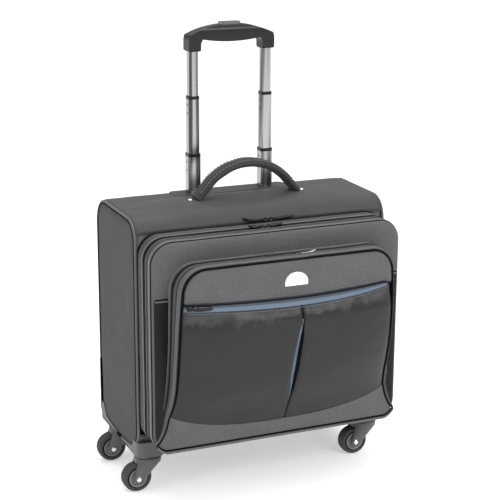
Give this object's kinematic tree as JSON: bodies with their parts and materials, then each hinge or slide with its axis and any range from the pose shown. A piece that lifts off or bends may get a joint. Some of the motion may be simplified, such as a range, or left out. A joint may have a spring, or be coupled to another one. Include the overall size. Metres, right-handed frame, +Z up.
{
  "type": "pilot rolling flight case",
  "caption": "Soft pilot case on swivel casters, with a telescopic trolley handle, padded carry handle, organizer lid and front pocket.",
  "frame": {"origin": "on the floor, midway between the swivel axes of the four casters", "axes": "+X to the right of someone facing the pocket side, +Y from the pocket side to the back, +Z up"},
  "size_m": [0.456, 0.3083, 0.7296],
  "materials": {
    "shell_fabric": "woven polyester, matt",
    "pocket_fabric": "smooth dark satin polyester",
    "welt": "welt cord in fabric",
    "lining": "plain lining",
    "handle_fabric": "padded strap in ribbed fabric",
    "board": "fibreboard",
    "moulded_plastic": "fine grained",
    "grip_plastic": "soft touch",
    "tube_aluminium": "satin anodised",
    "steel": "plated",
    "bright_steel": "polished",
    "button_metal": "dark chrome",
    "wheel_plastic": "moulded",
    "tyre_rubber": "grey tread",
    "zip_metal": "black lacquer",
    "badge_metal": "satin"
  },
  "bodies": {
    "case": {"left_side_panel": "shell_fabric", "right_side_panel": "shell_fabric", "top_panel": "shell_fabric", "back_panel": "shell_fabric", "bottom_panel": "shell_fabric", "side_piping": "welt", "base_board": "board", "inner_lining": "lining", "base_tubes": "tube_aluminium", "tube_bracket": "moulded_plastic", "handle_bezel": "moulded_plastic", "handle_anchors": "handle_fabric", "anchor_rivets": "bright_steel", "corner_cups": "moulded_plastic", "cup_screws": "steel", "swivel_pins": "steel"},
    "caster_fl": {"fork_fl": "moulded_plastic", "axle_fl": "bright_steel"},
    "wheel_fl": {"hub_fl": "wheel_plastic", "tyre_fl": "tyre_rubber"},
    "caster_fr": {"fork_fr": "moulded_plastic", "axle_fr": "bright_steel"},
    "wheel_fr": {"hub_fr": "wheel_plastic", "tyre_fr": "tyre_rubber"},
    "caster_rl": {"fork_rl": "moulded_plastic", "axle_rl": "bright_steel"},
    "wheel_rl": {"hub_rl": "wheel_plastic", "tyre_rl": "tyre_rubber"},
    "caster_rr": {"fork_rr": "moulded_plastic", "axle_rr": "bright_steel"},
    "wheel_rr": {"hub_rr": "wheel_plastic", "tyre_rr": "tyre_rubber"},
    "stage_1": {"stage_1_tubes": "tube_aluminium", "stage_1_collars": "moulded_plastic", "stage_1_glides": "moulded_plastic"},
    "stage_2": {"stage_2_tubes": "tube_aluminium", "stage_2_collars": "moulded_plastic", "stage_2_glides": "moulded_plastic"},
    "stage_3": {"stage_3_tubes": "tube_aluminium", "stage_3_glides": "moulded_plastic", "grip_lower": "grip_plastic", "grip_upper": "grip_plastic", "button_spring": "steel"},
    "release": {"release_button": "button_metal", "release_rods": "steel"},
    "locks": {"lock_pins": "steel"},
    "carry_handle": {"carry_handle": "handle_fabric"},
    "flap": {"flap_panel": "lining", "organizer_gusset": "shell_fabric"},
    "lid": {"organizer_panel": "shell_fabric", "pocket_gusset": "shell_fabric"},
    "pocket": {"pocket_front": "pocket_fabric", "badge": "badge_metal"},
    "main_slider_left": {"main_slider_left": "zip_metal"},
    "main_slider_right": {"main_slider_right": "zip_metal"},
    "organizer_slider_left": {"organizer_slider_left": "zip_metal"},
    "organizer_slider_right": {"organizer_slider_right": "zip_metal"},
    "pocket_slider_left": {"pocket_slider_left": "zip_metal"},
    "pocket_slider_right": {"pocket_slider_right": "zip_metal"},
    "front_slider": {"front_slider": "zip_metal"}
  },
  "joints": [
    {"name": "swivel_fl", "type": "hinge", "parent": "case", "child": "caster_fl", "pos_m": [-0.195, -0.0655, 0.055], "axis": [0, 0, 1], "continuous": true},
    {"name": "swivel_fr", "type": "hinge", "parent": "case", "child": "caster_fr", "pos_m": [0.195, -0.0655, 0.055], "axis": [0, 0, 1], "continuous": true},
    {"name": "swivel_rl", "type": "hinge", "parent": "case", "child": "caster_rl", "pos_m": [-0.195, 0.0655, 0.055], "axis": [0, 0, 1], "continuous": true},
    {"name": "swivel_rr", "type": "hinge", "parent": "case", "child": "caster_rr", "pos_m": [0.195, 0.0655, 0.055], "axis": [0, 0, 1], "continuous": true},
    {"name": "roll_fl", "type": "hinge", "parent": "caster_fl", "child": "wheel_fl", "pos_m": [-0.215, -0.0655, 0.024], "axis": [0, 1, 0], "continuous": true},
    {"name": "roll_fr", "type": "hinge", "parent": "caster_fr", "child": "wheel_fr", "pos_m": [0.175, -0.0655, 0.024], "axis": [0, 1, 0], "continuous": true},
    {"name": "roll_rl", "type": "hinge", "parent": "caster_rl", "child": "wheel_rl", "pos_m": [-0.215, 0.0655, 0.024], "axis": [0, 1, 0], "continuous": true},
    {"name": "roll_rr", "type": "hinge", "parent": "caster_rr", "child": "wheel_rr", "pos_m": [0.175, 0.0655, 0.024], "axis": [0, 1, 0], "continuous": true},
    {"name": "extend_1", "type": "slide", "parent": "case", "child": "stage_1", "axis": [0, 0, 1], "range_m": [-0.0596, 0.1]},
    {"name": "extend_2", "type": "slide", "parent": "stage_1", "child": "stage_2", "axis": [0, 0, 1], "range_m": [-0.0886, 0.07]},
    {"name": "extend_3", "type": "slide", "parent": "stage_2", "child": "stage_3", "axis": [0, 0, 1], "range_m": [-0.0714, 0.0926]},
    {"name": "button_press", "type": "slide", "parent": "stage_3", "child": "release", "axis": [0, 0, 1], "range_m": [-0.003, 0], "stiffness_N_per_m": 400, "springref_m": 0.006, "deforming": ["button_spring"]},
    {"name": "lock_retract", "type": "slide", "parent": "stage_3", "child": "locks", "axis": [1, 0, 0], "range_m": [0, 0.003]},
    {"name": "carry_lean", "type": "hinge", "parent": "case", "child": "carry_handle", "pos_m": [0, -0.0113, 0.468], "axis": [1, 0, 0], "range_deg": [-30, 30], "stiffness_Nm_per_rad": 1.5},
    {"name": "flap_open", "type": "hinge", "parent": "case", "child": "flap", "pos_m": [0, -0.0775, 0.094], "axis": [1, 0, 0], "range_deg": [0, 40]},
    {"name": "lid_open", "type": "hinge", "parent": "flap", "child": "lid", "pos_m": [0, -0.1125, 0.094], "axis": [1, 0, 0], "range_deg": [0, 30]},
    {"name": "pocket_open", "type": "hinge", "parent": "lid", "child": "pocket", "pos_m": [0, -0.1405, 0.097], "axis": [1, 0, 0], "range_deg": [0, 15]},
    {"name": "zip_main_left", "type": "slide", "parent": "case", "child": "main_slider_left", "axis": [1, 0, 0], "range_m": [-0.155, 0]},
    {"name": "zip_main_right", "type": "slide", "parent": "case", "child": "main_slider_right", "axis": [1, 0, 0], "range_m": [0, 0.15]},
    {"name": "zip_organizer_left", "type": "slide", "parent": "flap", "child": "organizer_slider_left", "axis": [1, 0, 0], "range_m": [-0.145, 0]},
    {"name": "zip_organizer_right", "type": "slide", "parent": "flap", "child": "organizer_slider_right", "axis": [1, 0, 0], "range_m": [0, 0.165]},
    {"name": "zip_pocket_left", "type": "slide", "parent": "lid", "child": "pocket_slider_left", "axis": [1, 0, 0], "range_m": [-0.13, 0]},
    {"name": "zip_pocket_right", "type": "slide", "parent": "lid", "child": "pocket_slider_right", "axis": [1, 0, 0], "range_m": [0, 0.115]},
    {"name": "zip_front", "type": "slide", "parent": "pocket", "child": "front_slider", "axis": [1, 0, 0], "range_m": [0, 0.29]}
  ],
  "couplings": [
    {"joint": "lock_retract", "follows": "button_press", "ratio": -1}
  ]
}
